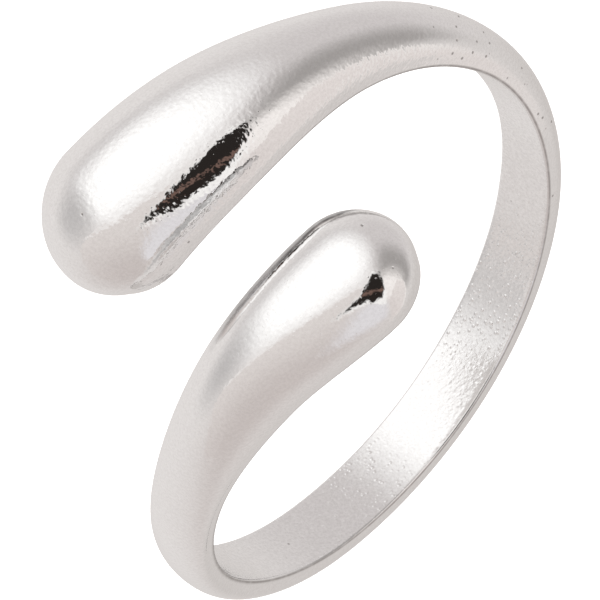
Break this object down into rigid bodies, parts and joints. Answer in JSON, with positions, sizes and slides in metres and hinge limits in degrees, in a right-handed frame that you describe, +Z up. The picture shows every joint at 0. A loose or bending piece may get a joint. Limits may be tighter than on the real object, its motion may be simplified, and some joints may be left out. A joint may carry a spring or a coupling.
{
  "type": "open finger ring",
  "caption": "Open cuff ring for a finger: a slender cast band whose ends pass each other at the front and swell into polished teardrops of unlike size, lying on its side.",
  "frame": {"origin": "on the ground, under the centre of the resting ring's bounding box", "axes": "+Z up from the ground, +Y from the drops at the front towards the back of the band, +X to the right seen from the front. The ring lies on its side and leans as it does by itself, so its finger axis leans 18.7 degrees from +Z, towards the back"},
  "size_m": [0.0188, 0.021, 0.0112],
  "materials": {
    "ring_metal": "polished outside, fine sandy cast grain on the finger's side"
  },
  "bodies": {
    "root": {"cuff_ring": "ring_metal"}
  },
  "joints": []
}
